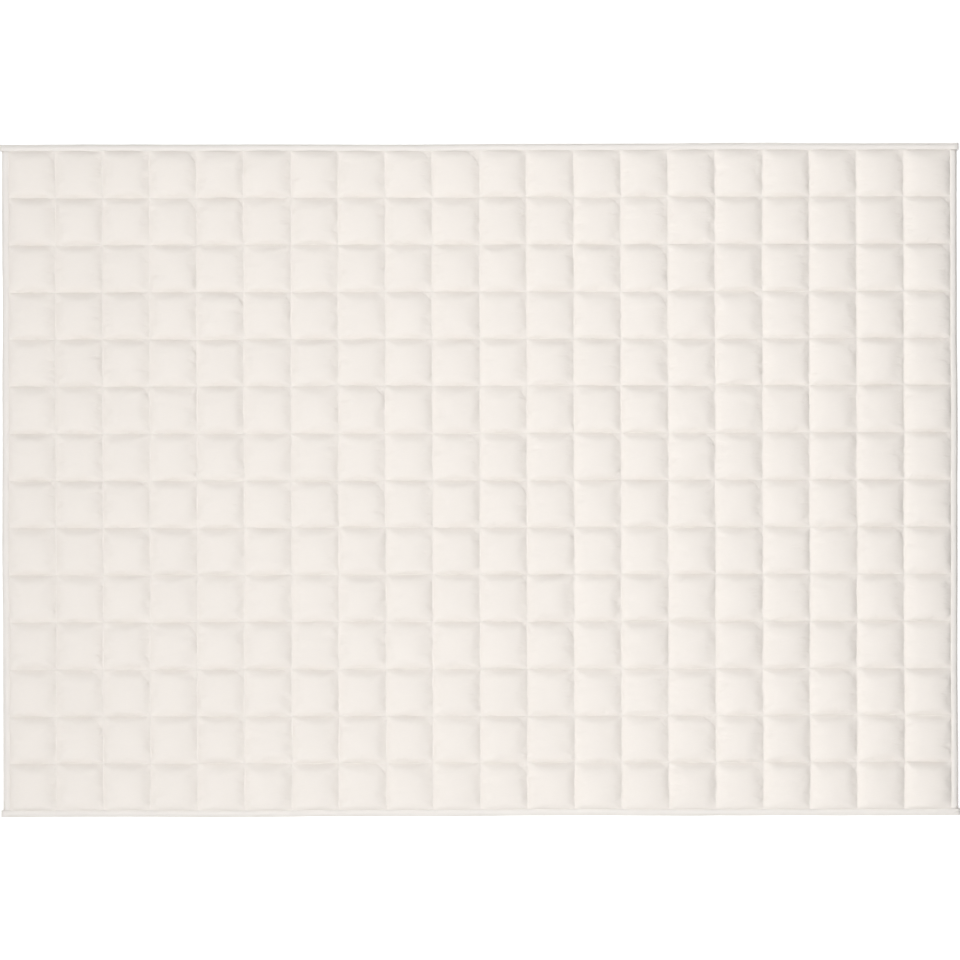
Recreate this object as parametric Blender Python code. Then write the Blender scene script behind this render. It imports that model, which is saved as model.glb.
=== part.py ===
"""A quilted weighted blanket, lying flat.

Two cotton panels and their filling are sewn together along a square grid of seams into small
pockets. Folded cotton tapes bind the four edges. The two long tapes run over the ends of the
side ones, and their own turned-in ends stand out a little past the sides.

Metres, +Z up. The origin is the centre of the blanket's footprint, on the surface it lies on.
+X runs along its length and +Y across it, to the far long edge.
"""

import math

import bmesh
import bpy
import numpy as np
from mathutils import Vector

# The quilting
COLUMNS = 20
ROWS = 14
POCKET = 0.0986                # from seam to seam, both ways
CROWN_TOP = 0.0142             # height of an average pocket's crown
SEAM_TOP = 0.0042              # height of the upper face where two seams cross
SEAM_MID_LIFT = 0.0009         # how much higher a seam is halfway between two crossings
SEAM_UNDER = 0.0018            # height of the under face along the seams
PILLOW_POWER = 2.2             # a higher power makes a pocket flatter on top
PILLOW_ROUND = 0.7             # a lower one makes its sides steeper
RING_CORNER = 0.60             # a pocket's inner ring of points, as a share of the way out
RING_SIDE = 0.64
CONTACT = 0.72                 # the flat patch under each pocket, as a share of its half width

# How uneven the sewing and the filling are
SEED = 11
SEAM_OFFSET = 0.0003           # spread of the seams' places
CROSSING_JITTER = 0.0004       # spread of each crossing
EDGE_WAVE = 0.0011             # how far the four edges wander
SIDE_WAVE_PHASE = 0.3
LONG_WAVE_PHASE = 0.8
PLUMP_SPREAD = 0.05            # spread of the pockets' fullness
CROWN_WANDER = 0.0025          # spread of the crowns' places

# The binding tapes, folded over the seam allowance
TAPE_FACE = 0.0135             # from the outer seam to the outer edge
TAPE_CROWN = 0.0064            # the puffed middle of a tape's upper face
TAPE_CROWN_OUT = 0.0045        # how far out from the seam that middle is
TAPE_LIP_TOP = 0.0054          # height of the upper face at the seam
TAPE_ROLL = 0.0031             # radius of the rolled outer edge
ROLL_STEPS = 4                 # flats that make up half a turn of the roll
ALLOWANCE = 0.0115             # the seam allowance inside the tape
SLOT_DEPTH = 0.0119            # the fold's inside, from the outer seam
TAPE_OVERRUN = 0.0050          # how far a long tape's end passes the side tape
GAP = 0.0003                   # between pieces that touch
SLOT_CLEAR = 0.0004            # between the seam allowance's corner and a long tape's end
SLOT_END = 0.0005              # length over which a long tape's fold closes

SIDE_WIDTH = COLUMNS * POCKET / 2      # half the quilted field, along X
SIDE_DEPTH = ROWS * POCKET / 2         # half the quilted field, along Y


def clear_scene():
    """Removes whatever objects the file holds."""
    for thing in list(bpy.data.objects):
        bpy.data.objects.remove(thing, do_unlink=True)


def cotton(name, colour, roughness):
    """A plain cotton material."""
    material = bpy.data.materials.new(name)
    material.use_nodes = True
    shader = material.node_tree.nodes["Principled BSDF"]
    shader.inputs["Base Color"].default_value = (*colour, 1.0)
    shader.inputs["Roughness"].default_value = roughness
    shader.inputs["Metallic"].default_value = 0.0
    material.diffuse_color = (*colour, 1.0)
    return material


def add_object(name, bm, material):
    """Makes a mesh into a named object that is shaded smooth over its soft edges."""
    bmesh.ops.recalc_face_normals(bm, faces=bm.faces)
    mesh = bpy.data.meshes.new(name)
    bm.to_mesh(mesh)
    bm.free()
    mesh.shade_smooth()
    mesh.set_sharp_from_angle(angle=math.radians(50))
    mesh.materials.append(material)
    thing = bpy.data.objects.new(name, mesh)
    bpy.context.scene.collection.objects.link(thing)
    return thing


def edge_wave(along, phase):
    """How far an edge wanders outwards, for a place along it from -1 to 1. It is still at both ends."""
    slow = math.sin(math.pi * (1.5 * along + phase)) + 0.6 * math.sin(math.pi * (4.2 * along - phase))
    return EDGE_WAVE * slow * (1 - along ** 4) / 1.6


def seam_crossings():
    """The points where seams cross, by [row line][column line], as x, y pairs.

    They are a square grid, with every seam a little off its place, every crossing a little off its
    seam, and the four outer seams following the edges' wander.
    """
    rng = np.random.default_rng(SEED)
    column_off = rng.normal(0, SEAM_OFFSET, COLUMNS + 1)
    row_off = rng.normal(0, SEAM_OFFSET, ROWS + 1)
    jitter = rng.normal(0, CROSSING_JITTER, (ROWS + 1, COLUMNS + 1, 2))
    lines = []
    for j in range(ROWS + 1):
        y = (j - ROWS / 2) * POCKET
        line = []
        for i in range(COLUMNS + 1):
            x = (i - COLUMNS / 2) * POCKET
            dx, dy = jitter[j, i] + (column_off[i], row_off[j])
            if i in (0, COLUMNS):
                out = -1 if i == 0 else 1
                dx = out * edge_wave(out * y / SIDE_DEPTH, SIDE_WAVE_PHASE)
                dy = row_off[j] if 0 < j < ROWS else 0
            if j in (0, ROWS):
                out = -1 if j == 0 else 1
                dy = out * edge_wave(out * x / SIDE_WIDTH, LONG_WAVE_PHASE)
                dx = column_off[i] if 0 < i < COLUMNS else 0
            line.append(Vector((x + dx, y + dy)))
        lines.append(line)
    return lines


def pillow(u, v):
    """A pocket's fullness, 1 at its middle and 0 at its seams, for u and v from -1 to 1."""
    across = (1 - abs(u) ** PILLOW_POWER) ** PILLOW_ROUND
    down = (1 - abs(v) ** PILLOW_POWER) ** PILLOW_ROUND
    return across * down


def triangle(bm, *corners):
    bm.faces.new(corners)


def pocket_top(bm, rim, middle, fullness):
    """A pocket's upper face: its eight rim points, a ring of eight inside them, and the crown.

    rim runs anticlockwise from a corner, so its even points are corners and its odd ones are
    halfway along a side.
    """
    ring = []
    for k, point in enumerate(rim):
        share = RING_SIDE if k % 2 else RING_CORNER
        full = pillow(share, 0) if k % 2 else pillow(share, share)
        spot = middle + (point.co.xy - middle) * share
        height = SEAM_TOP + (CROWN_TOP - SEAM_TOP) * full * fullness
        ring.append(bm.verts.new((*spot, height)))
    crown = bm.verts.new((*middle, SEAM_TOP + (CROWN_TOP - SEAM_TOP) * fullness))
    for k in range(8):
        n = (k + 1) % 8
        if k % 2:
            triangle(bm, rim[k], rim[n], ring[n])
            triangle(bm, rim[k], ring[n], ring[k])
        else:
            triangle(bm, rim[k], rim[n], ring[k])
            triangle(bm, rim[n], ring[n], ring[k])
        triangle(bm, ring[k], ring[n], crown)


def pocket_under(bm, corners):
    """A pocket's under face: a flat patch that lies on the surface, and four slopes up to the seams."""
    middle = sum((c.co.xy for c in corners), Vector((0, 0))) / 4
    patch = [bm.verts.new((*(middle + (c.co.xy - middle) * CONTACT), 0.0)) for c in corners]
    for k in range(4):
        n = (k + 1) % 4
        triangle(bm, corners[k], patch[k], corners[n])
        triangle(bm, corners[n], patch[k], patch[n])
    triangle(bm, patch[0], patch[2], patch[1])
    triangle(bm, patch[0], patch[3], patch[2])


def outer_line(grid):
    """The grid's outer entries, anticlockwise from its first corner, with the way out at each."""
    last_row, last_column = len(grid) - 1, len(grid[0]) - 1
    near = [(grid[0][i], Vector((-1 if i == 0 else 0, -1))) for i in range(last_column)]
    right = [(grid[j][last_column], Vector((1, -1 if j == 0 else 0))) for j in range(last_row)]
    far = [(grid[last_row][i], Vector((1 if i == last_column else 0, 1)))
           for i in range(last_column, 0, -1)]
    left = [(grid[j][0], Vector((-1, 1 if j == last_row else 0))) for j in range(last_row, 0, -1)]
    return near + right + far + left


def quilted_body(crossings, material):
    """The two panels and their filling, sewn into pockets, with the seam allowance all round."""
    bm = bmesh.new()
    rng = np.random.default_rng(SEED + 1)
    top = [[bm.verts.new((*p, SEAM_TOP)) for p in line] for line in crossings]
    under = [[bm.verts.new((*p, SEAM_UNDER)) for p in line] for line in crossings]

    def halfway(a, b, outer):
        lift = 0 if outer else SEAM_MID_LIFT
        return bm.verts.new((*((a.co.xy + b.co.xy) / 2), SEAM_TOP + lift))

    along_x = [[halfway(top[j][i], top[j][i + 1], j in (0, ROWS)) for i in range(COLUMNS)]
               for j in range(ROWS + 1)]
    along_y = [[halfway(top[j][i], top[j + 1][i], i in (0, COLUMNS)) for i in range(COLUMNS + 1)]
               for j in range(ROWS)]
    for j in range(ROWS):
        for i in range(COLUMNS):
            rim = [top[j][i], along_x[j][i], top[j][i + 1], along_y[j][i + 1],
                   top[j + 1][i + 1], along_x[j + 1][i], top[j + 1][i], along_y[j][i]]
            middle = sum((v.co.xy for v in rim), Vector((0, 0))) / 8
            middle = middle + Vector(np.clip(rng.normal(0, CROWN_WANDER, 2), -0.005, 0.005))
            fullness = float(np.clip(rng.normal(1, PLUMP_SPREAD), 0.88, 1.1))
            pocket_top(bm, rim, middle, fullness)
            pocket_under(bm, [under[j][i], under[j][i + 1], under[j + 1][i + 1], under[j + 1][i]])

    upper, lower = outer_line(top), outer_line(under)
    halves = (along_x[0] + [along_y[j][COLUMNS] for j in range(ROWS)]
              + along_x[ROWS][::-1] + [along_y[j][0] for j in range(ROWS)][::-1])
    edge_up = [bm.verts.new((*(v.co.xy + out * ALLOWANCE), SEAM_TOP)) for v, out in upper]
    edge_low = [bm.verts.new((*(v.co.xy + out * ALLOWANCE), SEAM_UNDER)) for v, out in lower]
    for k in range(len(upper)):
        n = (k + 1) % len(upper)
        seam, seam_next, half = upper[k][0], upper[n][0], halves[k]
        triangle(bm, seam, edge_up[k], half)
        triangle(bm, edge_up[k], edge_up[n], half)
        triangle(bm, edge_up[n], seam_next, half)
        triangle(bm, edge_up[k], edge_low[k], edge_up[n])
        triangle(bm, edge_low[k], edge_low[n], edge_up[n])
        triangle(bm, lower[k][0], lower[n][0], edge_low[k])
        triangle(bm, lower[n][0], edge_low[n], edge_low[k])
    return add_object("quilted_body", bm, material)


def tape_section(slot_depth):
    """A folded tape's closed section as (out, up) pairs, out from the outer seam.

    It is flat below, puffed above and rolled at the outer edge, and its slot takes the seam
    allowance. A slot no deeper than the gap is a closed end.
    """
    roll = []
    for step in range(ROLL_STEPS + 1):
        angle = math.pi / 2 - math.pi * step / ROLL_STEPS
        roll.append((TAPE_FACE - TAPE_ROLL + TAPE_ROLL * math.cos(angle),
                     TAPE_ROLL + TAPE_ROLL * math.sin(angle)))
    slot_low = SEAM_UNDER - GAP
    slot_high = SEAM_TOP + GAP
    return [
        (GAP, TAPE_LIP_TOP),
        (TAPE_CROWN_OUT, TAPE_CROWN),
        *roll,
        (GAP, 0.0),
        (GAP, slot_low),
        (slot_depth, slot_low),
        (slot_depth, slot_high),
        (GAP, slot_high),
    ]


def folded_tape(name, stations, outwards, material):
    """A tape carried along an outer seam.

    Each station is a point on the seam and the depth of the fold's slot there, and outwards is the
    level direction away from the quilting.
    """
    bm = bmesh.new()
    loops = []
    for seam_point, slot_depth in stations:
        loop = []
        for out, up in tape_section(slot_depth):
            loop.append(bm.verts.new((*(seam_point + outwards * out), up)))
        loops.append(loop)
    size = len(loops[0])
    for here, there in zip(loops, loops[1:]):
        for k in range(size):
            bm.faces.new((here[k], here[(k + 1) % size], there[(k + 1) % size], there[k]))
    bm.faces.new(loops[0][::-1])
    bm.faces.new(loops[-1])
    bmesh.ops.remove_doubles(bm, verts=bm.verts, dist=GAP / 30)
    bmesh.ops.triangulate(bm, faces=bm.faces)
    return add_object(name, bm, material)


def long_tape(name, line, outwards, material):
    """A tape along the far or near edge, closed at both ends past the side tapes."""
    y = line[0].y
    slot_end = SIDE_WIDTH + ALLOWANCE + SLOT_CLEAR
    closed = slot_end + SLOT_END
    end = SIDE_WIDTH + TAPE_FACE + TAPE_OVERRUN
    stations = [(Vector((-end, y)), GAP), (Vector((-closed, y)), GAP)]
    stations += [(Vector((-slot_end, y)), SLOT_DEPTH)]
    stations += [(point, SLOT_DEPTH) for point in line]
    stations += [(Vector((slot_end, y)), SLOT_DEPTH)]
    stations += [(Vector((closed, y)), GAP), (Vector((end, y)), GAP)]
    return folded_tape(name, stations, outwards, material)


def side_tape(name, line, outwards, material):
    """A tape along the left or right edge, whose open ends meet the long tapes."""
    return folded_tape(name, [(point, SLOT_DEPTH) for point in line], outwards, material)


def build():
    clear_scene()
    panel = cotton("quilted_cotton", (0.86, 0.81, 0.76), 0.9)
    tape = cotton("binding_cotton", (0.85, 0.81, 0.77), 0.85)
    crossings = seam_crossings()
    quilted_body(crossings, panel)
    long_tape("binding_long_far", crossings[ROWS], Vector((0, 1)), tape)
    long_tape("binding_long_near", crossings[0], Vector((0, -1)), tape)
    side_tape("binding_side_left", [line[0] for line in crossings], Vector((-1, 0)), tape)
    side_tape("binding_side_right", [line[COLUMNS] for line in crossings], Vector((1, 0)), tape)


build()
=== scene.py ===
import math
from functools import partial

import bpy
import numpy as np
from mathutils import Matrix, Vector


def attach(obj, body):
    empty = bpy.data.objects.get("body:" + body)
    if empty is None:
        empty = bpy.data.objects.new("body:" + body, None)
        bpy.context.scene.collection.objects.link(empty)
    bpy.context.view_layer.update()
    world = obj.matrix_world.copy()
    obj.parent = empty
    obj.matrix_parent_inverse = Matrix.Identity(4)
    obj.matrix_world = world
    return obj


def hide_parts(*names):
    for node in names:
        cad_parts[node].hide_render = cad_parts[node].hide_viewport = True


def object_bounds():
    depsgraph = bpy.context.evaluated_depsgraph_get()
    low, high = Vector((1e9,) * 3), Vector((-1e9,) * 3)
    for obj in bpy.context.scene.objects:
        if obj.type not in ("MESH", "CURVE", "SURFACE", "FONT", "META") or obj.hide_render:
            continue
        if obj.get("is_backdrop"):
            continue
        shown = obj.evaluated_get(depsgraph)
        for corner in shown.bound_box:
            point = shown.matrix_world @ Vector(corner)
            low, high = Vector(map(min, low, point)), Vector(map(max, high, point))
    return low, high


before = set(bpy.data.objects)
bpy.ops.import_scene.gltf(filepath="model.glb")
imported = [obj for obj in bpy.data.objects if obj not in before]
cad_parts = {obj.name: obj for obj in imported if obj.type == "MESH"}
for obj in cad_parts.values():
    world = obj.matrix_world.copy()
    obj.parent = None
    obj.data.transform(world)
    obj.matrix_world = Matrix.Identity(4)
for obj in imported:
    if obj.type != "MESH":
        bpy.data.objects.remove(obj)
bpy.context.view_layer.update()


# ---- The quilted body ---------------------------------------------------------------------------
# Two panels of plain-woven cotton with thin wadding and beads between them, sewn together along a
# square grid of seams. Each pocket swells between its seams, its cloth puckers where it was eased
# under the needle, and its corners stay flat. A seam allowance stands out round the whole field.

COLUMNS, ROWS = 20, 14
POCKET = 0.0986                  # from seam to seam, both ways
HALF_LENGTH = COLUMNS * POCKET / 2
HALF_WIDTH = ROWS * POCKET / 2
SEAM_TOP = 0.0042                # height of the upper face where seams cross
SEAM_LIFT = 0.0009               # how much higher a seam lies between two crossings
SEAM_UNDER = 0.0018              # height of the under face along the seams
CROWN_RISE = 0.0120              # a pocket's crown above its seams
STEEP_RISE = 0.0024              # the part of that rise a pocket gains close beside its seams
CONTACT = 0.72                   # the flat share of a pocket's half width, underneath
ALLOWANCE = 0.0115               # the seam allowance past the outer seams
WANDER = 0.0011                  # how far the four edges wander
SEAM_OFFSET = 0.0003             # spread of the seams' places
CROSSING_JITTER = 0.0004         # spread of each crossing's place
LONG_CELLS, WIDE_CELLS = 14, 22  # mesh cells in a pocket, along the blanket and across it
LONG_PICKS, WIDE_PICKS = (0, 3, 7, 11), (0, 4, 11, 18)  # the lines the coarser under face keeps


def edge_wave(along, phase):
    """How far an edge wanders outwards: two sines of the place along it, fading out at both ends."""
    slow = np.sin(np.pi * (1.5 * along + phase)) + 0.6 * np.sin(np.pi * (4.2 * along - phase))
    return WANDER * slow * (1 - along ** 4) / 1.6


def crossing_shifts():
    """How far each seam crossing lies off a square grid, [row line, column line, x or y].

    Every seam has an offset and every crossing a jitter of its own. The outer seams follow the
    edges' wander instead, and the four corners keep their places.
    """
    draws = np.random.default_rng(11)
    column_off = draws.normal(0, SEAM_OFFSET, COLUMNS + 1)
    row_off = draws.normal(0, SEAM_OFFSET, ROWS + 1)
    shift = draws.normal(0, CROSSING_JITTER, (ROWS + 1, COLUMNS + 1, 2))
    shift[..., 0] += column_off
    shift[..., 1] += row_off[:, None]
    x_share = np.linspace(-1, 1, COLUMNS + 1)
    y_share = np.linspace(-1, 1, ROWS + 1)
    row_off[[0, -1]] = 0
    column_off[[0, -1]] = 0
    for end, out in ((0, -1), (-1, 1)):
        shift[:, end, 0] = out * edge_wave(out * y_share, 0.3)
        shift[:, end, 1] = row_off
    for end, out in ((0, -1), (-1, 1)):
        shift[end, :, 1] = out * edge_wave(out * x_share, -0.25)
        shift[end, :, 0] = column_off
    return shift


def spline_weights(places, count):
    """Weights that turn values at the whole numbers up to count into values at places.

    A cubic runs between each two values, and its slope at a value is half the difference of that
    value's neighbours.
    """
    start = np.clip(np.floor(places).astype(int), 0, count - 1)
    t = places - start
    cubic = np.stack([-t ** 3 + 2 * t ** 2 - t, 3 * t ** 3 - 5 * t ** 2 + 2,
                      -3 * t ** 3 + 4 * t ** 2 + t, t ** 3 - t ** 2], -1) / 2
    weights = np.zeros((len(places), count + 1))
    for step in range(4):
        spot = np.clip(start + step - 1, 0, count)
        np.add.at(weights, (np.arange(len(places)), spot), cubic[:, step])
    return weights


def crowded_lines(pockets, cells, crowding):
    """Mesh lines over a row of pockets, closer together near the seams.

    Within a pocket a line's place is a blend of an even step and half a cosine wave.
    """
    even = np.arange(cells) / cells
    lines = crowding * (1 - np.cos(np.pi * even)) / 2 + (1 - crowding) * even
    return np.append((np.arange(pockets)[:, None] + lines).ravel(), pockets)


def soft_noise(x, y, seed):
    """Smooth random hills from -1 to 1: a seeded height at each whole-number place, eased between."""
    table = np.random.default_rng(seed).uniform(-1, 1, (256, 256))
    i, j = np.floor(x).astype(int), np.floor(y).astype(int)
    fx, fy = x - i, y - j
    fx, fy = (f ** 3 * (f * (f * 6 - 15) + 10) for f in (fx, fy))
    near = table[j % 256, i % 256] * (1 - fx) + table[j % 256, (i + 1) % 256] * fx
    far = table[(j + 1) % 256, i % 256] * (1 - fx) + table[(j + 1) % 256, (i + 1) % 256] * fx
    return near * (1 - fy) + far * fy


def ease(t):
    """0 below 0, 1 above 1 and a smooth step between."""
    t = np.clip(t, 0, 1)
    return t * t * (3 - 2 * t)


ENLARGED = 10                    # the cloth solver is tuned for large pieces
CUT = (1.05, 1.12, 0)            # the panel's cut, as shares of the field it is sewn down to
RIPPLE = 0.0016                  # height of the ripples taken in with the cut
SWELL_STEPS = 12


def swell(points, seam):
    """The upper panel as the filling swells it, from a flat grid of points pinned along the seams.

    The panel is a cloth whose cut is a little larger than the field it is sewn down to, more so
    across the blanket, with ripples taken in between the seams. Air pressure stands for the
    filling. It is worked out enlarged and brought back to size.
    """
    rows, columns = seam.shape
    index = np.arange(rows * columns).reshape(rows, columns)
    quads = np.stack([index[:-1, :-1], index[:-1, 1:], index[1:, 1:], index[1:, :-1]], -1).reshape(-1, 4)
    start = points.copy()
    start[..., 2] = np.where(seam, 0, 0.0002)
    mesh = bpy.data.meshes.new("panel")
    mesh.from_pydata((start * ENLARGED).reshape(-1, 3), [], quads)
    panel = bpy.data.objects.new("panel", mesh)
    bpy.context.scene.collection.objects.link(panel)
    panel.shape_key_add(name="Basis")
    cut = panel.shape_key_add(name="Cut")
    ripple = RIPPLE * soft_noise(points[..., 0] / 0.011, points[..., 1] / 0.009, 31)
    flat = points * CUT
    flat[..., 2] = np.where(seam, 0, ripple)
    cut.data.foreach_set("co", (flat * ENLARGED).ravel())
    pins = panel.vertex_groups.new(name="seams")
    pins.add(np.flatnonzero(seam.ravel()).tolist(), 1.0, "REPLACE")
    cloth = panel.modifiers.new("Cloth", "CLOTH")
    cloth.point_cache.frame_start = 1
    cloth.point_cache.frame_end = SWELL_STEPS
    cloth.collision_settings.use_collision = False
    settings = cloth.settings
    settings.quality = 5
    settings.mass = 0.3
    settings.air_damping = 1
    settings.tension_stiffness = 15
    settings.compression_stiffness = 15
    settings.shear_stiffness = 5
    settings.bending_stiffness = 0.8
    settings.use_pressure = True
    settings.uniform_pressure_force = 8
    settings.vertex_group_mass = "seams"
    settings.rest_shape_key = cut
    settings.effector_weights.gravity = 0
    for moment in range(1, SWELL_STEPS + 1):
        bpy.context.scene.frame_set(moment)
    shown = panel.evaluated_get(bpy.context.evaluated_depsgraph_get()).to_mesh()
    swollen = np.empty(rows * columns * 3)
    shown.vertices.foreach_get("co", swollen)
    bpy.data.objects.remove(panel)
    bpy.data.meshes.remove(mesh)
    bpy.context.scene.frame_set(1)
    return swollen.reshape(rows, columns, 3) / ENLARGED


def seam_side(places):
    """The distance in metres from the nearest seam, and a number for that seam's side.

    places are in pockets. The number is twice the seam's own, plus one past it.
    """
    nearest = np.round(places)
    side = 2 * nearest + (places > nearest)
    return np.abs(places - nearest) * POCKET, side


def puckers(s, t):
    """How much fuller or flatter the cloth is than a smooth swell, near the seams, as a factor.

    Noise that changes fast along a seam, at its pitch, and slowly away from it, and fades with the
    distance from the seam, at its reach. Each side of each seam has its own. The folds lean
    towards the pocket's middle.
    """
    factor = 1
    for across, along, depth, pitch, reach, seed in ((s, t, 0.68, 0.019, 0.014, 5),
                                                     (t, s, 0.40, 0.030, 0.012, 6)):
        away, side = seam_side(across)
        middle = along - np.floor(along) - 0.5
        place = (along * POCKET + 0.8 * middle * away) / pitch
        fold = soft_noise(place + 31.7 * side, away / 0.03 + 7.3 * side, seed)
        slower = soft_noise(place / 2.1 + 11.9 * side, away / 0.04, seed + 9)
        puff = 1.6 * (0.32 - np.abs(fold)) + 0.5 * slower
        factor = factor + depth * np.exp(-away / reach) * puff
    return np.maximum(factor, 0.15)


LUMP = 0.0007                    # height of the uneven filling's hills


def lumps(s, t):
    """Uneven filling and slack cloth: hills and hollows 15 mm across, mostly 5 to 25 mm from a seam.

    They are stronger beside the seams that run across the blanket than beside the other ones.
    """
    hills = soft_noise(s * POCKET / 0.016 + 5.5 * np.floor(s), t * POCKET / 0.014 + 3.3 * np.floor(t), 8)
    side, end = seam_side(s)[0] / 0.011, seam_side(t)[0] / 0.011
    near = side * np.exp(1 - side) + 0.4 * end * np.exp(1 - end)
    return LUMP * hills * near * ease(side) * ease(end)


ARC_POWER = 1.4                  # the curve of a flat corner: 1 is a straight line and 2 a round arc
FLATNESS_SPREAD = (0.3, 0.4, 0.45, 0.8)  # near left, near right, far left and far right corner
FLATNESS_LEAST = (0.0, 0.0, 0.0, 0.2)


def corner_webs(s, t):
    """The share of a pocket's fullness left near its corners, then how flat and large each corner is.

    A corner is cut off by a fold between a straight line and a round arc, and the fullness falls
    away past it. The corners at the far right of each pocket are the flattest. The size is in half
    pockets.
    """
    column, row = np.minimum(np.floor(s), COLUMNS - 1), np.minimum(np.floor(t), ROWS - 1)
    u, v = 2 * (s - column) - 1, 2 * (t - row) - 1
    corner = (4 * (row * COLUMNS + column) + 2 * (v > 0) + (u > 0)).astype(int)
    draws = np.random.default_rng(17)
    flatness = draws.uniform(0, 1, (ROWS * COLUMNS, 4)) ** 1.5 * FLATNESS_SPREAD + FLATNESS_LEAST
    flat = flatness.ravel()[corner]
    size = draws.uniform(0.34, 0.66, ROWS * COLUMNS * 4)[corner]
    du, dv = np.maximum(np.abs(u) - 1 + size, 0), np.maximum(np.abs(v) - 1 + size, 0)
    out = (du ** ARC_POWER + dv ** ARC_POWER) ** (1 / ARC_POWER) / size
    share = 1 - 0.5 * flat * ease((out - 0.95) / 0.22) * ease(np.minimum(du, dv) / 0.08)
    return share, flat, size


def ring_of(grid):
    """The outer entries of a grid, anticlockwise from its first corner."""
    return np.concatenate([grid[0, :-1], grid[:-1, -1], grid[-1, :0:-1], grid[:0:-1, 0]])


def mesh_object(name, points, faces, material, cloth):
    """A smooth-shaded object from an array of points and a list of face arrays.

    Its cloth coordinates, in metres, become a UV map.
    """
    mesh = bpy.data.meshes.new(name)
    flat = [face for group in faces for face in group.tolist()]
    mesh.from_pydata(points.tolist(), [], flat)
    layer = mesh.uv_layers.new(name="Cloth")
    corners = np.empty(len(mesh.loops), int)
    mesh.loops.foreach_get("vertex_index", corners)
    layer.data.foreach_set("uv", cloth[corners].ravel())
    mesh.shade_smooth()
    mesh.materials.append(material)
    thing = bpy.data.objects.new(name, mesh)
    bpy.context.scene.collection.objects.link(thing)
    return thing


def shader_math(tree, operation, *values):
    """The result of a math node on numbers and sockets."""
    node = tree.nodes.new("ShaderNodeMath")
    node.operation = operation
    for socket, value in zip(node.inputs, values):
        if isinstance(value, bpy.types.NodeSocket):
            tree.links.new(value, socket)
        else:
            socket.default_value = value
    return node.outputs[0]


def shader_noise(tree, vector, scale, detail, roughness=0.5):
    """Noise from 0 to 1 at a vector socket."""
    node = tree.nodes.new("ShaderNodeTexNoise")
    tree.links.new(vector, node.inputs["Vector"])
    node.inputs["Scale"].default_value = scale
    node.inputs["Detail"].default_value = detail
    node.inputs["Roughness"].default_value = roughness
    return node.outputs["Fac"]


def shader_bump(tree, height, distance, strength, normal=None):
    """A bump node: height in units of distance, laid over an earlier normal."""
    node = tree.nodes.new("ShaderNodeBump")
    node.inputs["Strength"].default_value = strength
    node.inputs["Distance"].default_value = distance
    tree.links.new(height, node.inputs["Height"])
    if normal is not None:
        tree.links.new(normal, node.inputs["Normal"])
    return node.outputs[0]


def shader_vector(tree, *parts):
    """A vector from up to three numbers or sockets."""
    node = tree.nodes.new("ShaderNodeCombineXYZ")
    for socket, value in zip(node.inputs, parts):
        if isinstance(value, bpy.types.NodeSocket):
            tree.links.new(value, socket)
        else:
            socket.default_value = value
    return node.outputs[0]


def cotton(name, colour, weave_pitch, crumple):
    """Plain-woven cotton, matt and faintly fuzzy.

    Its threads go over and under each other as the product of two sine waves at weave_pitch, some
    of them thicker, and the cloth is crumpled by noise. Colour and height both follow the Cloth
    map, which is in metres.
    """
    material = bpy.data.materials.new(name)
    material.use_nodes = True
    tree = material.node_tree
    shader = tree.nodes["Principled BSDF"]
    shader.inputs["Specular IOR Level"].default_value = 0.2
    shader.inputs["Sheen Weight"].default_value = 0.12
    shader.inputs["Sheen Roughness"].default_value = 0.5
    cloth = tree.nodes.new("ShaderNodeUVMap")
    cloth.uv_map = "Cloth"
    spot = tree.nodes.new("ShaderNodeSeparateXYZ")
    tree.links.new(cloth.outputs[0], spot.inputs[0])
    calc = partial(shader_math, tree)
    turn = math.pi / weave_pitch
    warp = calc("SINE", calc("MULTIPLY", spot.outputs[0], turn))
    weft = calc("SINE", calc("MULTIPLY", spot.outputs[1], turn))
    weave = calc("MULTIPLY", warp, weft)
    stretched = shader_vector(tree, spot.outputs[0], calc("MULTIPLY", spot.outputs[1], 8.0))
    slubs = shader_noise(tree, stretched, 90.0, 2.0)
    clouds = shader_noise(tree, cloth.outputs[0], 7.0, 3.0)
    tint = calc("MULTIPLY", calc("ADD", clouds, slubs), 0.5)
    ramp = tree.nodes.new("ShaderNodeValToRGB")
    tree.links.new(tint, ramp.inputs[0])
    ramp.color_ramp.elements[0].position = 0.3
    ramp.color_ramp.elements[1].position = 0.7
    ramp.color_ramp.elements[0].color = (*(c * 0.982 for c in colour), 1)
    ramp.color_ramp.elements[1].color = (*(min(c * 1.015, 1) for c in colour), 1)
    tree.links.new(ramp.outputs["Color"], shader.inputs["Base Color"])
    tree.links.new(calc("MULTIPLY_ADD", slubs, 0.12, 0.84), shader.inputs["Roughness"])
    crumples = shader_noise(tree, cloth.outputs[0], 75.0, 3.0, 0.6)
    folds = shader_bump(tree, crumples, 0.0012, crumple)
    threads = calc("MULTIPLY_ADD", weave, 0.5, slubs)
    tree.links.new(shader_bump(tree, threads, 0.0002, 0.35, folds), shader.inputs["Normal"])
    return material


def node_of(tree, kind):
    """The first node of a kind."""
    return next(node for node in tree.nodes if node.bl_idname == kind)


def pocket_places(tree):
    """Where a place lies in its pocket, from the Cloth map.

    Three things come back: for both ways, the share of the pocket that lies before it, and its
    distance in metres from the nearer seam, and then a number of the pocket's own.
    """
    calc = partial(shader_math, tree)
    spot = node_of(tree, "ShaderNodeSeparateXYZ").outputs
    places = [calc("DIVIDE", spot[way], POCKET) for way in (0, 1)]
    inside = [calc("FRACT", place) for place in places]
    middle = [calc("ABSOLUTE", calc("SUBTRACT", share, 0.5)) for share in inside]
    away = [calc("MULTIPLY", calc("SUBTRACT", 0.5, part), POCKET) for part in middle]
    column, row = (calc("FLOOR", place) for place in places)
    return inside, away, calc("MULTIPLY_ADD", column, 3.7, calc("MULTIPLY", row, 5.3))


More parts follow.
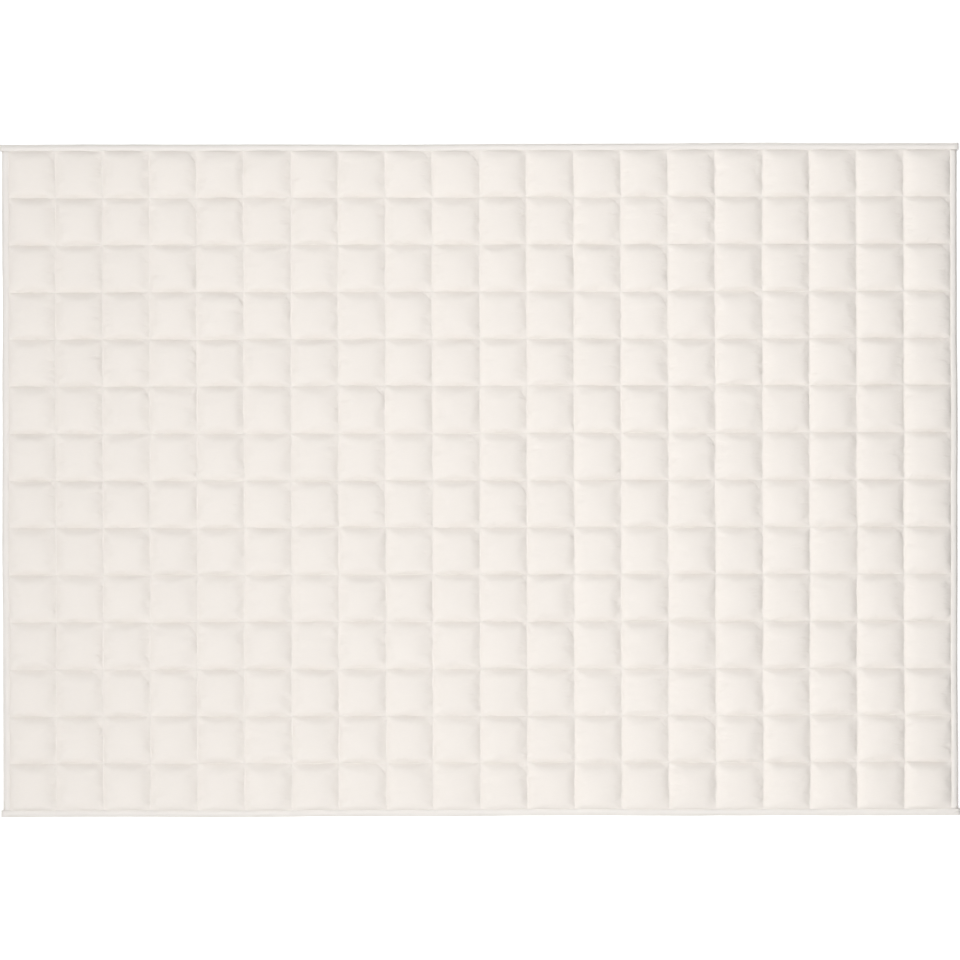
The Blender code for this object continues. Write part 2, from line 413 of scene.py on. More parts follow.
CREASE_START = 0.0035            # the fine creases fade in over this distance from their seam
CREASE_STRETCH = 0.028           # how slowly they change away from it
LEFT_SHARE = 0.4                 # how deep they are in a pocket's left half, against its right one


def fine_creases(tree, inside, away, pocket_id, right_half):
    """The height of the sharp little creases beside the seams.

    A noise is stretched away from each seam and leans towards the pocket's middle. The distance
    from its middle value makes round puffs with sharp valleys between. They come in patches, fade
    in beside the seam and out again at their reach.
    """
    calc = partial(shader_math, tree)
    spot = node_of(tree, "ShaderNodeSeparateXYZ").outputs
    height = 0.0
    for way, depth, pitch, reach in ((0, 0.50, 0.0105, 0.011), (1, 0.29, 0.015, 0.006)):
        other = 1 - way
        lean = calc("MULTIPLY", calc("SUBTRACT", inside[other], 0.5), away[way])
        along_seam = calc("DIVIDE", calc("MULTIPLY_ADD", lean, 1.2, spot[other]), pitch)
        vector = shader_vector(tree, along_seam, calc("DIVIDE", spot[way], CREASE_STRETCH), pocket_id)
        fold = calc("SUBTRACT", shader_noise(tree, vector, 1.0, 1.0), 0.5)
        puff = calc("SUBTRACT", calc("SQRT", calc("MULTIPLY_ADD", fold, fold, 0.0008)), 0.1)
        start = calc("MINIMUM", calc("DIVIDE", away[way], CREASE_START), 1.0)
        fade = calc("EXPONENT", calc("DIVIDE", away[way], -reach))
        patch = calc("POWER", shader_noise(tree, vector, 0.37, 0.0), 2.0)
        mask = calc("MULTIPLY", calc("MULTIPLY", start, fade), calc("MULTIPLY", patch, depth * 3.2))
        if way == 0:
            mask = calc("MULTIPLY", mask, calc("MULTIPLY_ADD", right_half, 1 - LEFT_SHARE, LEFT_SHARE))
        height = calc("MULTIPLY_ADD", puff, mask, height)
    return height


COLUMN_TUCK, ROW_TUCK = 0.198, 0.222     # how deep the cloth is drawn in at the seams
TUCK_PITCH = 0.017                       # length along a seam over which a tuck's width changes
TUCK_HELD = 0.4                          # the part of a tuck left beside the left and long tapes


def tucks(tree, inside, away, pocket_id, right_half, held):
    """The height of the cloth where the stitches draw it in: the lower of two valleys, one for each way.

    A valley rises from the seam to its width in a straight line that is rounded off at the top. The
    width is its least one and a noise along the seam, of its own on either side.
    """
    calc = partial(shader_math, tree)
    spot = node_of(tree, "ShaderNodeSeparateXYZ").outputs
    valleys = []
    for way, least, wider, spread, soft in ((0, 0.0065, 0.0, 0.024, 0.35),
                                            (1, 0.0045, 0.0055, 0.011, 0.30)):
        past_middle = calc("GREATER_THAN", inside[way], 0.5)
        side_id = calc("MULTIPLY_ADD", past_middle, 2.9, pocket_id)
        vector = shader_vector(tree, calc("DIVIDE", spot[1 - way], TUCK_PITCH), 0.0, side_id)
        share = calc("MULTIPLY_ADD", shader_noise(tree, vector, 1.0, 1.0), 2.5, -0.75)
        share = calc("POWER", calc("MAXIMUM", share, 0.0), 1.5)
        width = calc("MULTIPLY_ADD", share, spread, calc("MULTIPLY_ADD", past_middle, wider, least))
        rise = calc("SMOOTH_MIN", calc("DIVIDE", away[way], width), 1.0, soft)
        valleys.append(calc("SUBTRACT", rise, 1.0))
    cloth = node_of(tree, "ShaderNodeUVMap").outputs[0]
    uneven = calc("SUBTRACT", shader_noise(tree, cloth, 60.0, 1.0), 0.5)
    uneven = calc("MULTIPLY", uneven, calc("MULTIPLY_ADD", right_half, 0.36, 0.2))
    column_tuck = calc("MAXIMUM", calc("ADD", uneven, COLUMN_TUCK), 0.03)
    deeper = calc("MINIMUM", calc("MULTIPLY", valleys[0], column_tuck),
                  calc("MULTIPLY", valleys[1], ROW_TUCK))
    return calc("MULTIPLY", deeper, calc("MULTIPLY_ADD", held, 1 - TUCK_HELD, TUCK_HELD))


ARC_DEPTH, ARC_WIDTH = 0.13, 0.07        # of the fold round a flat corner, the width in half pockets
ARC_FLATTEST = 0.25                      # a corner less flat than this has no fold


def corner_folds(tree, away):
    """The height of the folds round the flat corners: narrow bell-shaped valleys that follow an arc.

    The Corner attribute holds how flat and how large each corner is. The arc is the same curve as
    in corner_webs, with some noise.
    """
    calc = partial(shader_math, tree)
    form = tree.nodes.new("ShaderNodeAttribute")
    form.attribute_name = "Corner"
    parts = tree.nodes.new("ShaderNodeSeparateXYZ")
    tree.links.new(form.outputs["Vector"], parts.inputs[0])
    flatness, radius = parts.outputs[0], parts.outputs[1]
    closer = [calc("SUBTRACT", radius, calc("DIVIDE", part, POCKET / 2)) for part in away]
    corner = [calc("MAXIMUM", part, 0.0) for part in closer]
    bent = [calc("POWER", part, ARC_POWER) for part in corner]
    out = calc("POWER", calc("ADD", *bent), 1 / ARC_POWER)
    uneven = shader_noise(tree, node_of(tree, "ShaderNodeUVMap").outputs[0], 70.0, 1.0)
    arc = calc("ADD", calc("SUBTRACT", out, radius), calc("MULTIPLY_ADD", uneven, 0.16, -0.08))
    beside = calc("DIVIDE", calc("ADD", arc, 0.015), ARC_WIDTH)
    valley = calc("EXPONENT", calc("MULTIPLY", calc("MULTIPLY", beside, beside), -1.0))
    in_corner = calc("MINIMUM", calc("MULTIPLY", calc("MULTIPLY", *corner), 60.0), 1.0)
    deep = calc("MULTIPLY", calc("MAXIMUM", calc("SUBTRACT", flatness, ARC_FLATTEST), 0.0), in_corner)
    deep = calc("MULTIPLY", deep, calc("MULTIPLY", uneven, 2.0))
    return calc("MULTIPLY", calc("MULTIPLY", valley, deep), -ARC_DEPTH)


PAINTED_SHADE_REACH = 0.0045              # reach of the painted shade beside a column's seam, darkening the cloth's colour where the valley lies in shade
ROW_PAINTED_SHADE_SHARE = 1.5            # how many times narrower it is beside a row's
SHADE = 0.032                    # how much darker the painted seam shade makes the cloth's colour


def paint_seam_shade(tree, away, held):
    """Paints shade into the cloth's colour beside the seams, where their valleys lie in shade, in a
    bell-shaped curve of the distance.
    """
    calc = partial(shader_math, tree)
    nearest = calc("MINIMUM", away[0], calc("MULTIPLY", away[1], ROW_PAINTED_SHADE_SHARE))
    nearest = calc("DIVIDE", nearest, PAINTED_SHADE_REACH)
    seam_shade_bell = calc("EXPONENT", calc("MULTIPLY", calc("MULTIPLY", nearest, nearest), -1.0))
    # painted shade: the base colour is scaled down beside the seams, where their valleys lie in shade
    paint = tree.nodes["Principled BSDF"].inputs["Base Color"]
    shaded = tree.nodes.new("ShaderNodeVectorMath")
    shaded.operation = "SCALE"
    tree.links.new(paint.links[0].from_socket, shaded.inputs[0])
    tree.links.new(calc("MULTIPLY_ADD", calc("MULTIPLY", seam_shade_bell, held), -SHADE, 1.0), shaded.inputs["Scale"])
    tree.links.new(shaded.outputs[0], paint)


CREASE_HEIGHT = 0.0055           # what a height of 1 stands for in the creases, tucks and folds
HELD_REACH = 0.02                # the tapes hold the cloth flat this far past the outer seams, and the painted seam shade fades out over the same distance


def add_creases(material):
    """Creases, tucks and corner folds on the quilted panel, laid under the material's other bumps.

    The tucks and the shade painted beside the seams fade out towards the left and the two long tapes, which
    hold the cloth.
    """
    tree = material.node_tree
    calc = partial(shader_math, tree)
    spot = node_of(tree, "ShaderNodeSeparateXYZ").outputs
    inside, away, pocket_id = pocket_places(tree)
    right_half = calc("GREATER_THAN", inside[0], 0.5)
    held = calc("MINIMUM", spot[0], calc("MINIMUM", spot[1], calc("SUBTRACT", ROWS * POCKET, spot[1])))
    held = calc("MINIMUM", calc("MAXIMUM", calc("DIVIDE", held, HELD_REACH), 0.0), 1.0)
    height = calc("ADD", tucks(tree, inside, away, pocket_id, right_half, held),
                  fine_creases(tree, inside, away, pocket_id, right_half))
    height = calc("ADD", height, corner_folds(tree, away))
    # painted shade beside the seams, in the cloth's colour
    paint_seam_shade(tree, away, held)
    first_bump = node_of(tree, "ShaderNodeBump")
    tree.links.new(shader_bump(tree, height, CREASE_HEIGHT, 1.0), first_bump.inputs["Normal"])


IVORY = (0.795, 0.749, 0.703)
panel_cotton = cotton("panel_cotton", IVORY, 0.0011, 0.25)
add_creases(panel_cotton)

SEAM_PULL = 0.0008               # how far the stitches pull the cloth aside between two crossings
PLUMP_SPREAD = 0.05              # spread of the pockets' fullness
STEEP_ALONG, STEEP_ACROSS = 0.024, 0.018  # the distance over which the steep rise is gained

# S and T are a point's place along and across the blanket, in pockets.
along = crowded_lines(COLUMNS, LONG_CELLS, 0.8)
across = crowded_lines(ROWS, WIDE_CELLS, 0.5)
S, T = np.meshgrid(along, across)
shifts = crossing_shifts()
to_rows, to_columns = spline_weights(across, ROWS), spline_weights(along, COLUMNS)
level = np.zeros((*S.shape, 3))
pulls = []
for across_seam, along_seam, seams, seed in ((S, T, COLUMNS, 23), (T, S, ROWS, 24)):
    pull = SEAM_PULL * soft_noise(along_seam * POCKET / 0.015, np.round(across_seam) * 7.7, seed)
    pull = pull * np.exp(-seam_side(across_seam)[0] / 0.012) * ease(seam_side(along_seam)[0] / 0.006)
    pulls.append(pull * ((np.round(across_seam) > 0) & (np.round(across_seam) < seams)))
level[..., 0] = (S - COLUMNS / 2) * POCKET + to_rows @ shifts[..., 0] @ to_columns.T + pulls[0]
level[..., 1] = (T - ROWS / 2) * POCKET + to_rows @ shifts[..., 1] @ to_columns.T + pulls[1]
on_seam = (S == np.round(S)) | (T == np.round(T))

top = swell(level, on_seam)
pocket_draws = np.random.default_rng(12).standard_normal((ROWS, COLUMNS, 3))
fullness = np.clip(1 + PLUMP_SPREAD * pocket_draws[..., 2], 0.88, 1.1)
fullness = fullness[np.minimum(T, ROWS - 1).astype(int), np.minimum(S, COLUMNS - 1).astype(int)]
web_share, flat_corner, corner_size = corner_webs(S, T)
rise = CROWN_RISE / np.percentile(top[..., 2], 99)
between = np.sin(np.pi * S) ** 2 + np.sin(np.pi * T) ** 2
inside = (S > 0) & (S < COLUMNS) & (T > 0) & (T < ROWS)
seam_height = SEAM_TOP + SEAM_LIFT * np.where(inside, np.clip(between, 0, 1), 0)
swollen = (CROWN_RISE - STEEP_RISE) * np.maximum(top[..., 2] * rise / CROWN_RISE, 0) ** 0.92
climb = np.minimum(seam_side(S)[0] / STEEP_ALONG, seam_side(T)[0] / STEEP_ACROSS)
swollen = swollen + STEEP_RISE * (1 - (1 - np.minimum(climb, 1)) ** 1.6)
top[..., 2] = seam_height + swollen * fullness * web_share * puckers(S, T) + lumps(S, T)

# The under face keeps fewer of the lines, and each pocket lies flat on what is below it.
long_lines = np.append((np.arange(COLUMNS)[:, None] * LONG_CELLS + LONG_PICKS).ravel(), COLUMNS * LONG_CELLS)
wide_lines = np.append((np.arange(ROWS)[:, None] * WIDE_CELLS + WIDE_PICKS).ravel(), ROWS * WIDE_CELLS)
kept = np.ix_(wide_lines, long_lines)
under, under_s, under_t = level[kept], S[kept], T[kept]
from_middle = np.maximum(np.abs(2 * (under_s % 1) - 1), np.abs(2 * (under_t % 1) - 1))
under[..., 2] = SEAM_UNDER * np.clip((from_middle - CONTACT) / (1 - CONTACT), 0, 1) ** 1.5

top_index = np.arange(top.shape[0] * top.shape[1]).reshape(top.shape[:2])
under_index = np.arange(under.shape[0] * under.shape[1]).reshape(under.shape[:2]) + top_index.size
fine_ring, coarse_ring = ring_of(top_index), ring_of(under_index)
ring_points = ring_of(under)
ring_cloth = ring_of(np.stack([under_s, under_t], -1)) * POCKET
outwards = np.stack([np.where(ring_cloth[:, 0] == 0, -1.0, np.isclose(ring_cloth[:, 0], 2 * HALF_LENGTH)),
                     np.where(ring_cloth[:, 1] == 0, -1.0, np.isclose(ring_cloth[:, 1], 2 * HALF_WIDTH))], -1)
rim_up, rim_low = ring_points.copy(), ring_points.copy()
rim_up[:, :2] += outwards * ALLOWANCE
rim_low[:, :2] += outwards * ALLOWANCE
rim_up[:, 2], rim_low[:, 2] = SEAM_TOP, SEAM_UNDER
count = len(coarse_ring)
rim_up_index = np.arange(count) + top_index.size + under_index.size
rim_low_index = rim_up_index + count

# The finer upper edge meets the coarser rim in fans: each rim point takes every cell up to the next.
long_steps, wide_steps = np.diff(long_lines), np.diff(wide_lines)
cells = np.concatenate([long_steps, wide_steps, long_steps[::-1], wide_steps[::-1]])
first = np.concatenate([[0], np.cumsum(cells)[:-1]])
owner = np.repeat(np.arange(count), cells)
fine_next = np.roll(fine_ring, -1)
after = np.roll(np.arange(count), -1)
fans = np.stack([rim_up_index[owner], fine_next, fine_ring], -1)
closers = np.stack([rim_up_index, rim_up_index[after], fine_ring[first[after]]], -1)
rim_wall = np.stack([rim_low_index, rim_low_index[after], rim_up_index[after], rim_up_index], -1)
rim_under = np.stack([rim_low_index, coarse_ring, coarse_ring[after], rim_low_index[after]], -1)
upper_faces = np.stack([top_index[:-1, :-1], top_index[:-1, 1:], top_index[1:, 1:], top_index[1:, :-1]], -1)
under_faces = np.stack([under_index[:-1, :-1], under_index[1:, :-1], under_index[1:, 1:],
                        under_index[:-1, 1:]], -1)
body = mesh_object(
    "quilted_blanket_body",
    np.concatenate([top.reshape(-1, 3), under.reshape(-1, 3), rim_up, rim_low]),
    [upper_faces.reshape(-1, 4), under_faces.reshape(-1, 4), fans, closers, rim_wall, rim_under],
    panel_cotton,
    np.concatenate([np.stack([S, T], -1).reshape(-1, 2) * POCKET,
                    np.stack([under_s, under_t], -1).reshape(-1, 2) * POCKET,
                    ring_cloth + outwards * ALLOWANCE, ring_cloth + outwards * ALLOWANCE]))
corner_form = np.zeros((len(body.data.vertices), 3))
corner_form[:S.size, 0] = flat_corner.ravel()
corner_form[:, 1] = 0.5
corner_form[:S.size, 1] = corner_size.ravel()
body.data.attributes.new("Corner", "FLOAT_VECTOR", "POINT").data.foreach_set("vector", corner_form.ravel())

# The rows' seams are sharp valleys. The columns' are pressed softer, and stay smooth.
ends = np.empty(2 * len(body.data.edges), int)
body.data.edges.foreach_get("vertices", ends)
places = np.stack([S, T], -1).reshape(-1, 2)
sharp = np.zeros(len(body.data.edges), bool)
upper_edges = (ends.reshape(-1, 2) < S.size).all(1)
edge_places = places[ends.reshape(-1, 2)[upper_edges]]
edge_rows = edge_places[..., 1]
on_row = edge_rows[:, 0] == np.round(edge_rows[:, 0])
sharp[upper_edges] = on_row & (edge_rows[:, 0] == edge_rows[:, 1])
body.data.attributes.new("sharp_edge", "BOOLEAN", "EDGE").data.foreach_set("value", sharp)
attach(body, "root")
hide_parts("quilted_body")


# ---- The binding tapes --------------------------------------------------------------------------
# Four narrow cotton tapes, each folded lengthwise over the seam allowance and sewn through. The
# long tapes lie over the ends of the side ones, and their own turned-in ends stand out past them.

TAPE_WALL = 0.0009               # the thickness of the cloth
TAPE_LIP = -0.0004               # from the outer seam to the middle of a tape's raw edge
TAPE_LOW = 0.00450               # height of the middle of that edge
TAPE_CROWN = 0.0056              # from the outer seam to the highest line of a tape
TAPE_FACE = 0.0135               # from the outer seam to the folded edge
TAPE_TOP = 0.0061                # height of the highest line
FOLD_HEIGHT = 0.0015             # height of the outermost line of the fold
FOLD_TURN = 0.0012               # how far the fold turns in below that line
PRESSED_DEPTH = 0.00022          # of a faint line pressed in along the face
PRESSED_PLACE, PRESSED_WIDTH = 0.0104, 0.0006
SIDE_FALL = 0.0012               # how much lower the side tapes' ends are, under the long ones
LONG_RISE = 0.0007               # how much higher the long tapes lie over them
LONG_TIP = 0.0035                # length over which a long tape's end closes
OVERRUN = 0.0037                 # how far a long tape passes the side ones
SEWN = 0.0016                    # from the outer seam to the stitches along a tape
SEWN_POINTS = [2, 28]            # the tape outline's points under the stitches, above and below
SEWN_DENT = 0.0005               # how far those draw the under layer up
TAPE_PUFF = 0.00045              # height of a tape's puffs
TAPE_DRAG = 0.00030              # height of the slanting drag lines across it
TAPE_NUDGE = 0.0004              # how far its folded edge wanders
STATION = 0.004                  # length between two sections of a tape

binding_cotton = cotton("binding_cotton", (0.772, 0.737, 0.703), 0.0009, 0.15)


def tape_profile(low, crown):
    """The middle of a folded tape's wall, from its upper raw edge to its lower one, as (out, up) pairs.

    The upper face climbs from low, at the raw edge, to the highest line, crown away from the outer
    seam, in the mean of a straight line and a quarter wave. It then falls in a blunt curve, steeper
    and steeper, to the folded edge. The under face is flat but for the dent of its stitches. A
    second array says how much a point shares in the tape's puffs: all of it at the highest line
    and none underneath.
    """
    lowest = TAPE_WALL / 2
    q = np.linspace(0, 1, 7)[:-1]
    climb = (q + np.sin(np.pi * q / 2)) / 2
    inner = np.stack([TAPE_LIP + (crown - TAPE_LIP) * q, low + (TAPE_TOP - lowest - low) * climb], -1)
    angle = np.linspace(0, math.pi / 2, 15)
    reach = TAPE_FACE - lowest - crown
    drop = TAPE_TOP - lowest - FOLD_HEIGHT
    outer = np.stack([crown + reach * np.sin(angle) ** 1.3,
                      FOLD_HEIGHT + drop * np.cos(angle) ** 1.3], -1)
    outer[:, 1] -= PRESSED_DEPTH * np.exp(-((outer[:, 0] - PRESSED_PLACE) / PRESSED_WIDTH) ** 2)
    turn = np.linspace(0, math.pi / 2, 5)[1:]
    fold = np.stack([TAPE_FACE - lowest - FOLD_TURN * (1 - np.cos(turn)),
                     FOLD_HEIGHT - (FOLD_HEIGHT - lowest) * np.sin(turn)], -1)
    below = np.stack([np.array([0.0095, 0.0065, 0.0040, SEWN, 0.0006, TAPE_LIP]), np.full(6, lowest)], -1)
    below[3, 1] += SEWN_DENT
    line = np.concatenate([inner, outer, fold, below])
    puff = np.concatenate([np.sin(np.pi * q / 2), np.cos(angle) ** 0.5, np.zeros(10)])
    return line, puff


def wall_loop(line, thickness):
    """A closed outline round an open line: the line moved half the thickness to either side.

    The wall thins towards the line's first point, where the tape's raw edge is pressed down.
    """
    step = np.gradient(line, axis=0)
    normal = np.stack([-step[:, 1], step[:, 0]], -1) / np.linalg.norm(step, axis=1)[:, None]
    half = thickness / 2 * np.minimum(0.45 + 0.25 * np.arange(len(line)), 1)[:, None]
    return np.concatenate([line + normal * half, (line - normal * half)[::-1]])


def folded_tape(name, path, side, lift, closing, seed, low=TAPE_LOW, crown=TAPE_CROWN):
    """A folded tape carried along an outer seam, as a closed mesh.

    path is points on the seam, side the way out, lift how much higher the tape lies at each, and
    closing, from 1 to 0, how far its two layers stand apart. Slow noise along the path puffs the
    upper face and moves the folded edge, and slanting noise makes drag lines across it. The two
    lines that the tape is sewn along come back with it.
    """
    line, puff = tape_profile(low, crown)
    loop = wall_loop(line, TAPE_WALL)
    share = np.concatenate([puff, puff[::-1]])
    length = np.concatenate([[0], np.cumsum(np.linalg.norm(np.diff(path, axis=0), axis=1))])
    run, out = np.meshgrid(length, loop[:, 0], indexing="ij")
    up = np.broadcast_to(loop[:, 1], run.shape)
    slow = soft_noise(run / 0.045, np.full_like(run, 3.5), seed)
    drag = soft_noise((run + 0.8 * out) / 0.011, out / 0.02, seed + 1)
    nudge = soft_noise(run / 0.06, np.full_like(run, 8.5), seed + 2)
    up = up + share * (TAPE_PUFF * slow + TAPE_DRAG * drag)
    out = out + TAPE_NUDGE * nudge * (out / TAPE_FACE)
    middle = TAPE_TOP / 2
    up = np.maximum(middle + (up - middle) * closing[:, None], 0.0) + share * lift[:, None]
    across_path = np.array([side[0], side[1]])
    points = np.empty((*run.shape, 3))
    points[..., :2] = path[:, None] + out[..., None] * across_path
    points[..., 2] = up
    index = np.arange(run.size).reshape(run.shape)
    turned = np.roll(index, -1, axis=1)
    walls = np.stack([index[:-1], turned[:-1], turned[1:], index[1:]], -1).reshape(-1, 4)
    if side[0] * (path[-1, 1] - path[0, 1]) - side[1] * (path[-1, 0] - path[0, 0]) < 0:
        walls = walls[:, ::-1]
        ends = [index[:1], index[-1:, ::-1]]
    else:
        ends = [index[:1, ::-1], index[-1:]]
    cloth = np.stack([run + 3.0 * seed, np.broadcast_to(np.arange(run.shape[1]) * 0.0012, run.shape)], -1)
    tape = mesh_object(name, points.reshape(-1, 3), [walls, *ends], binding_cotton, cloth.reshape(-1, 2))
    return tape, points[:, SEWN_POINTS]


def seam_path(points, end):
    """Even stations along a straight-ish seam and on past its ends to end, as x, y pairs."""
    axis = int(abs(points[-1, 1] - points[0, 1]) > abs(points[-1, 0] - points[0, 0]))
    places = np.linspace(-end, end, int(2 * end / STATION) + 1)
    path = np.empty((len(places), 2))
    path[:, axis] = places
    path[:, 1 - axis] = np.interp(places, points[:, axis], points[:, 1 - axis])
    return path


long_end = HALF_LENGTH + TAPE_FACE + OVERRUN
tapes = {}
for name, row, way, seed in (("binding_long_far", -1, 1, 41), ("binding_long_near", 0, -1, 51)):
    path = seam_path(level[row, :, :2], long_end)
    past = (np.abs(path[:, 0]) - HALF_LENGTH) / TAPE_FACE
    tip = np.clip((np.abs(path[:, 0]) - (long_end - LONG_TIP)) / LONG_TIP, 0, 1)
    rise = LONG_RISE * ease(past * 2) * ease((1.25 - past) * 4)
    tape, sewn = folded_tape(name + "_tape", path, (0, way), rise, np.sqrt(1 - 0.98 * tip ** 2), seed)
    tapes[name] = (tape, path, sewn[np.abs(path[:, 0]) < HALF_LENGTH + TAPE_FACE - 0.002])

# The right tape is pressed flatter than the other three, with its highest line nearer the seam.
for name, column, way, seed, plump, low, crown in (
        ("binding_side_left", 0, -1, 61, 1.0, TAPE_LOW, TAPE_CROWN),
        ("binding_side_right", -1, 1, 71, 0.86, 0.0048, 0.0044)):
    path = seam_path(level[:, column, :2], HALF_WIDTH)
    tuck = ease((np.abs(path[:, 1]) - (HALF_WIDTH - 0.008)) / 0.008)
    tape, sewn = folded_tape(name + "_tape", path, (way, 0), -SIDE_FALL * tuck, plump - 0.12 * tuck,
                             seed, low, crown)
    tapes[name] = (tape, path, sewn[np.abs(path[:, 1]) < HALF_WIDTH - 0.008])
for name, (tape, path, sewn) in tapes.items():
    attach(tape, "root")
    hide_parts(name)


# ---- The sewing thread --------------------------------------------------------------------------
# Ivory polyester thread in lockstitch, 3 mm a stitch. A line of stitches lies in the valley of
# every seam, on both faces, and another runs along each tape, through both its layers and the body.

STITCH, STITCH_PITCH = 0.0029, 0.0033   # a stitch's length, and the step from one to the next
THREAD = 0.00026                        # the thread's radius
PLY_PITCH = 0.0005                      # between two of its slanting ridges


def sewing_thread(name, colour):
    """Twisted polyester thread: a light satin finish, with plies that show as slanting ridges."""
    material = bpy.data.materials.new(name)
    material.use_nodes = True
    tree = material.node_tree
    shader = tree.nodes["Principled BSDF"]
    shader.inputs["Base Color"].default_value = (*colour, 1)
    shader.inputs["Roughness"].default_value = 0.55
    shader.inputs["Sheen Weight"].default_value = 0.15
    twine = tree.nodes.new("ShaderNodeUVMap")
    twine.uv_map = "Cloth"
    spot = tree.nodes.new("ShaderNodeSeparateXYZ")
    tree.links.new(twine.outputs[0], spot.inputs[0])
    turned = shader_math(tree, "MULTIPLY_ADD", spot.outputs[1], 0.8, spot.outputs[0])
    ply = shader_math(tree, "SINE", shader_math(tree, "MULTIPLY", turned, 2 * math.pi / PLY_PITCH))
    tree.links.new(shader_bump(tree, ply, 0.00008, 0.6), shader.inputs["Normal"])
    return material


def stitches(line, side, rings, seed):
    """Stitches along a line of x, y, z points: their own points, cloth coordinates and faces.

    A stitch is a short bar: one ring or two of four points, and a tip at each end that goes down
    into the cloth. side is 1 on the upper face and -1 on the under one. Each stitch leans a little
    to one hand.
    """
    run = np.concatenate([[0], np.cumsum(np.linalg.norm(np.diff(line, axis=0), axis=1))])
    count = int(run[-1] / STITCH_PITCH)
    start = (np.arange(count) + 0.5) * run[-1] / count - STITCH / 2
    share = np.concatenate([[0], (np.arange(rings) + 0.45) / (rings - 0.1), [1]])
    station = start[:, None] + STITCH * share
    middle = np.stack([np.interp(station, run, line[:, axis]) for axis in range(3)], -1)
    middle[..., 2] += side * THREAD * np.where((share > 0) & (share < 1), 0.45, -1.2)
    ahead = middle[:, -1, :2] - middle[:, 0, :2]
    ahead /= np.linalg.norm(ahead, axis=1)[:, None]
    across = np.stack([-ahead[:, 1], ahead[:, 0]], -1)
    lean = np.random.default_rng(seed).normal(0.25, 0.12, count)[:, None] * THREAD
    middle[..., :2] += (lean * (share - 0.5) * 2)[..., None] * across[:, None]
    angle = np.arange(4) * math.pi / 2
    ring = np.zeros((count, rings, 4, 3))
    ring[..., :2] = across[:, None, None] * (THREAD * np.cos(angle))[:, None]
    ring[..., 2] = THREAD * np.sin(angle) * 0.8
    ring += middle[:, 1:-1, None]
    points = np.concatenate([middle[:, :1], ring.reshape(count, 4 * rings, 3), middle[:, -1:]], 1)
    around = np.concatenate([[0], np.tile(angle * THREAD, rings), [0]])
    cloth = np.stack([np.repeat(station, [1] + [4] * rings + [1], axis=1),
                      np.broadcast_to(around, (count, len(around)))], -1)
    step = np.arange(4)
    after = (step + 1) % 4
    last = 4 * rings + 1
    caps = np.concatenate([np.stack([np.zeros(4, int), 1 + after, 1 + step], -1),
                           np.stack([np.full(4, last), last - 4 + step, last - 4 + after], -1)])
    between = 1 + 4 * np.arange(rings - 1)[:, None]
    walls = np.stack([between + step, between + after, between + 4 + after, between + 4 + step], -1)
    first = (last + 1) * np.arange(count)[:, None, None]
    return (points.reshape(-1, 3), cloth.reshape(-1, 2), (caps + first).reshape(-1, 3),
            (walls.reshape(-1, 4) + first).reshape(-1, 4))


def thread_piece(name, lines, seed):
    """One mesh of all the stitches along several lines, each with its side and its stitches' rings."""
    parts = [stitches(*line, seed + number) for number, line in enumerate(lines)]
    first = np.cumsum([0] + [len(part[0]) for part in parts[:-1]])
    caps = np.concatenate([part[2] + offset for part, offset in zip(parts, first)])
    walls = np.concatenate([part[3] + offset for part, offset in zip(parts, first)])
    piece = mesh_object(name, np.concatenate([part[0] for part in parts]), [caps, walls], ivory_thread,
                        np.concatenate([part[1] for part in parts]))
    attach(piece, "root")
    return piece


ivory_thread = sewing_thread("ivory_thread", (0.80, 0.765, 0.725))
thread_piece("row_stitches", [(top[row * WIDE_CELLS], 1, 2) for row in range(1, ROWS)], 100)
thread_piece("column_stitches", [(top[:, column * LONG_CELLS], 1, 2) for column in range(1, COLUMNS)], 200)
thread_piece("under_stitches", [(under[row * len(WIDE_PICKS)], -1, 1) for row in range(1, ROWS)]
             + [(under[:, column * len(LONG_PICKS)], -1, 1) for column in range(1, COLUMNS)], 300)
thread_piece("tape_stitches", [(sewn[:, face], side, 2) for _, _, sewn in tapes.values()
                               for face, side in ((0, 1), (1, -1))], 400)


# ---- The studio ---------------------------------------------------------------------------------
# A white floor that glows faintly, more so far out, a long lamp overhead, a smaller one far to the
# left and another beyond the near edge, and faint light from all round. The camera looks straight
# down, and the lamps stay out of its view.

VIEW_WIDTH = 2.0091              # what the camera takes in, at the blanket's face
LENS, SENSOR = 85.0, 36.0
TURN = math.radians(0.125)       # the camera is turned this far off square to the blanket

FLOOR_REACH = 60.0               # half the floor's side
FLOOR_DROP = 0.0002              # how far the floor lies below the blanket

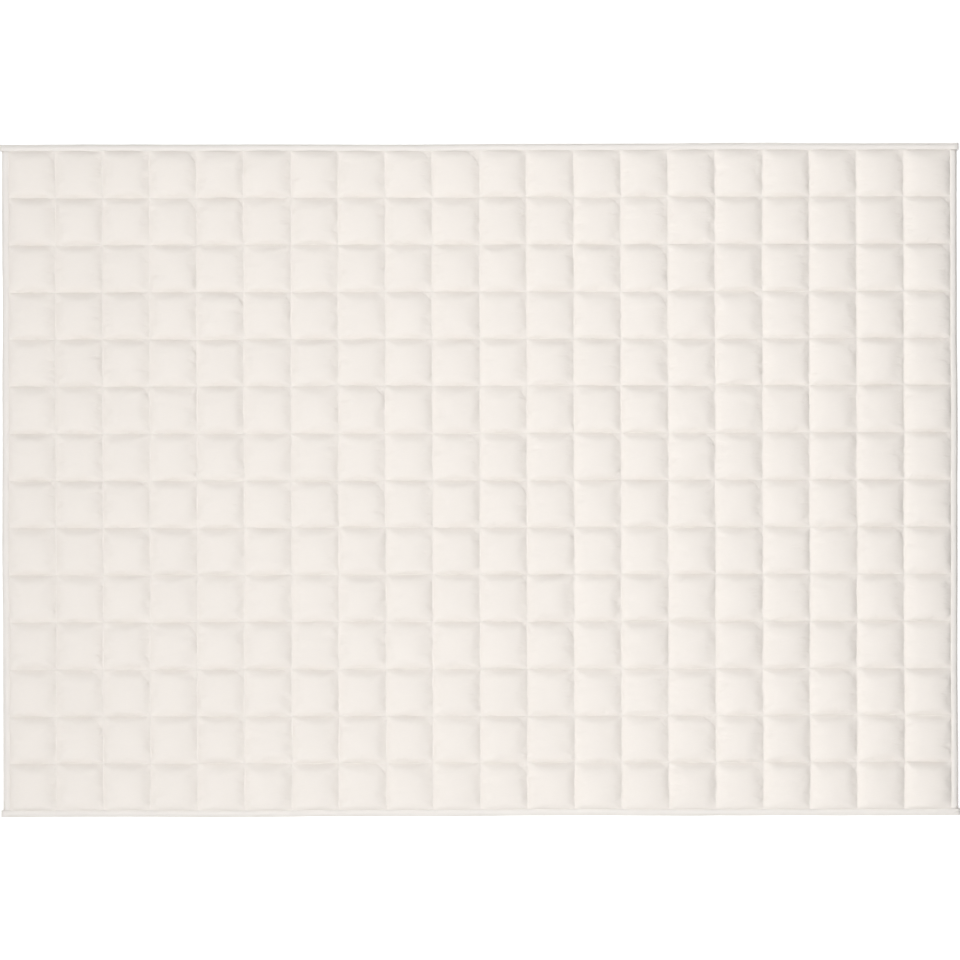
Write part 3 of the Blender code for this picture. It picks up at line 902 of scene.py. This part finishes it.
floor_mesh = bpy.data.meshes.new("floor")
floor_corners = [(x * FLOOR_REACH, y * FLOOR_REACH, -FLOOR_DROP)
                 for x, y in ((-1, -1), (1, -1), (1, 1), (-1, 1))]
floor_mesh.from_pydata(floor_corners, [], [(0, 1, 2, 3)])
floor = bpy.data.objects.new("floor", floor_mesh)
bpy.context.scene.collection.objects.link(floor)
floor_paint = bpy.data.materials.new("floor_paint")
floor_paint.use_nodes = True
paint_tree = floor_paint.node_tree
paint_shader = paint_tree.nodes["Principled BSDF"]
paint_shader.inputs["Base Color"].default_value = (0.96, 0.96, 0.96, 1)
paint_shader.inputs["Roughness"].default_value = 0.9
paint_shader.inputs["Emission Color"].default_value = (1, 1, 1, 1)
place_on_floor = paint_tree.nodes.new("ShaderNodeTexCoord")
far_out = paint_tree.nodes.new("ShaderNodeVectorMath")
far_out.operation = "LENGTH"
paint_tree.links.new(place_on_floor.outputs["Object"], far_out.inputs[0])
glow = paint_tree.nodes.new("ShaderNodeMapRange")
for socket, value in (("From Min", 1.6), ("From Max", 4.2), ("To Min", 0.12), ("To Max", 0.9)):
    glow.inputs[socket].default_value = value
paint_tree.links.new(far_out.outputs["Value"], glow.inputs["Value"])
paint_tree.links.new(glow.outputs["Result"], paint_shader.inputs["Emission Strength"])
floor_mesh.materials.append(floor_paint)
floor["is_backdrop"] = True

world = bpy.data.worlds.new("studio")
world.use_nodes = True
world.node_tree.nodes["Background"].inputs["Color"].default_value = (1, 1, 1, 1)
world.node_tree.nodes["Background"].inputs["Strength"].default_value = 0.08
bpy.context.scene.world = world


def soft_lamp(name, place, target, width, height, watts):
    """A rectangular lamp that faces a point."""
    light = bpy.data.lights.new(name, "AREA")
    light.shape = "RECTANGLE"
    light.size, light.size_y, light.energy = width, height, watts
    lamp = bpy.data.objects.new(name, light)
    lamp.location = place
    lamp.visible_camera = False
    lamp.rotation_euler = (Vector(target) - Vector(place)).to_track_quat("-Z", "Y").to_euler()
    bpy.context.scene.collection.objects.link(lamp)
    return lamp


soft_lamp("left_lamp", (-7.0, 0.6, 7.5), (1.0, 0.6, 0.0), 2.0, 1.0, 375)
soft_lamp("overhead_lamp", (0.4, 0.6, 3.3), (0.4, 0.601, 0.0), 3.0, 10.0, 176)
soft_lamp("near_lamp", (0.0, -11.0, 7.5), (0.0, 0.0, 0.0), 3.0, 1.5, 352)

bpy.context.scene.view_settings.view_transform = "Standard"
bpy.context.scene.view_settings.look = "None"
lens = bpy.data.cameras.new("camera")
lens.lens, lens.sensor_width = LENS, SENSOR
camera = bpy.data.objects.new("camera", lens)
camera.location = (0.0, 0.0, VIEW_WIDTH * LENS / SENSOR + SEAM_TOP)
camera.rotation_euler = (0.0, 0.0, -TURN)
bpy.context.scene.collection.objects.link(camera)
bpy.context.scene.camera = camera

low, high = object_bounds()
